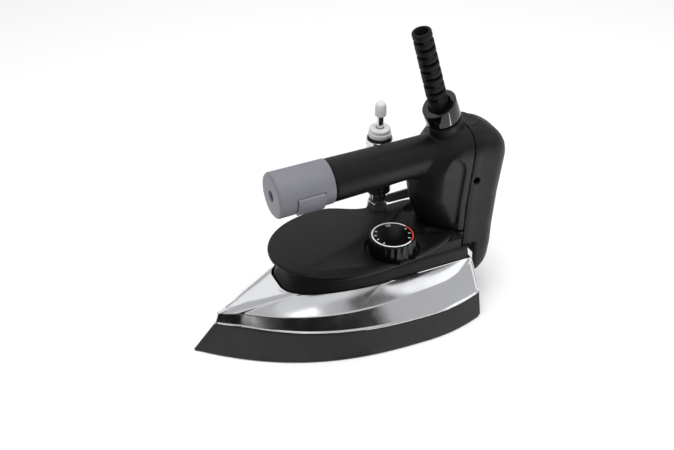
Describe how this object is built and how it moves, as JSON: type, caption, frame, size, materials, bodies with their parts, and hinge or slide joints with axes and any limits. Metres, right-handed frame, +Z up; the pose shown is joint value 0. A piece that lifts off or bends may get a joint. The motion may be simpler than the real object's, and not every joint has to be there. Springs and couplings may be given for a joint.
{
  "type": "clothes iron",
  "caption": "Gravity-feed steam iron for workshop use: coated sole, chromed body, open-fronted handle with a side button, thermostat dial and drip valve.",
  "frame": {"origin": "the middle of the sole's bottom face, half way along the sole's length and width", "axes": "-Y towards the sole's tip, +Y towards the heel, +X towards the iron's left side (the side with the dial and the button), +Z up from the sole"},
  "size_m": [0.1226, 0.2524, 0.2324],
  "materials": {
    "sole_coating": "dark coated casting, matt",
    "chrome_steel": "bright plating",
    "phenolic": "moulded, satin",
    "black_gloss": "polished",
    "grey_plastic": "satin",
    "white_nylon": "semi-translucent, smooth",
    "black_rubber": "matt",
    "silicone": "heat-resistant sleeve",
    "brass": "turned",
    "copper": "drawn copper",
    "cast_cover": "as cast",
    "mica_board": "pressed mineral board",
    "grey_paint": "grey paint, satin",
    "steel": "zinc-plated or machined"
  },
  "bodies": {
    "iron": {"armature_spring": "steel", "body_shell": "chrome_steel", "bracket_screw": "steel", "button_spring": "steel", "cap_insert": "brass", "cap_screw": "steel", "chamber_cover": "cast_cover", "chamber_gasket": "silicone", "chamber_screw_1": "steel", "chamber_screw_2": "steel", "chamber_screw_3": "steel", "chamber_screw_4": "steel", "cord_boot": "black_rubber", "cover_post_left": "steel", "cover_post_right": "steel", "cover_screw_left": "steel", "cover_screw_right": "steel", "gland_collar": "black_gloss", "gland_nipple": "steel", "handle": "phenolic", "handle_cap": "grey_plastic", "handle_screw_left": "steel", "handle_screw_right": "steel", "heating_element": "steel", "insulation_board": "mica_board", "lead_heater_left": "silicone", "lead_heater_right": "silicone", "lead_switch": "silicone", "lead_thermostat": "silicone", "lead_valve": "black_rubber", "rear_cover": "phenolic", "rear_screw_left": "steel", "rear_screw_right": "steel", "sole_plate": "sole_coating", "switch_body": "black_gloss", "switch_carrier": "phenolic", "terminal_block": "white_nylon", "thermal_fuse": "steel", "thermostat_body": "steel", "top_cover": "phenolic", "valve_base": "chrome_steel", "valve_body": "chrome_steel", "valve_bonnet": "white_nylon", "valve_bracket": "grey_paint", "valve_coil": "copper", "valve_nut": "chrome_steel", "valve_o_ring": "black_rubber", "water_inlet": "brass", "water_pipe": "copper"},
    "dial": {"thermostat_spindle": "brass", "dial_knob": "black_gloss", "dial_scale": "black_gloss"},
    "button": {"trigger_button": "grey_plastic"},
    "plunger": {"switch_plunger": "silicone"},
    "armature": {"valve_armature": "steel"},
    "flow_knob": {"valve_knob": "white_nylon", "valve_stem": "chrome_steel"}
  },
  "joints": [
    {"name": "dial_turn", "type": "hinge", "parent": "iron", "child": "dial", "pos_m": [0.0243, 0.0415, 0.07], "axis": [0, 0, 1], "range_deg": [0, 270]},
    {"name": "button_press", "type": "slide", "parent": "iron", "child": "button", "axis": [-0.9272, -0.015, 0.3743], "range_m": [0, 0.002], "stiffness_N_per_m": 600, "deforming": ["button_spring"]},
    {"name": "plunger_push", "type": "slide", "parent": "iron", "child": "plunger", "axis": [-0.9272, -0.015, 0.3743], "range_m": [0, 0.002]},
    {"name": "armature_lift", "type": "slide", "parent": "iron", "child": "armature", "axis": [0, 0, 1], "range_m": [0, 0.0015], "stiffness_N_per_m": 300, "deforming": ["armature_spring"]},
    {"name": "knob_turn", "type": "hinge", "parent": "iron", "child": "flow_knob", "pos_m": [-0.0286, 0.0549, 0.157], "axis": [0, 0, 1], "range_deg": [0, 540]}
  ],
  "couplings": [
    {"joint": "plunger_push", "follows": "button_press", "ratio": 1}
  ]
}
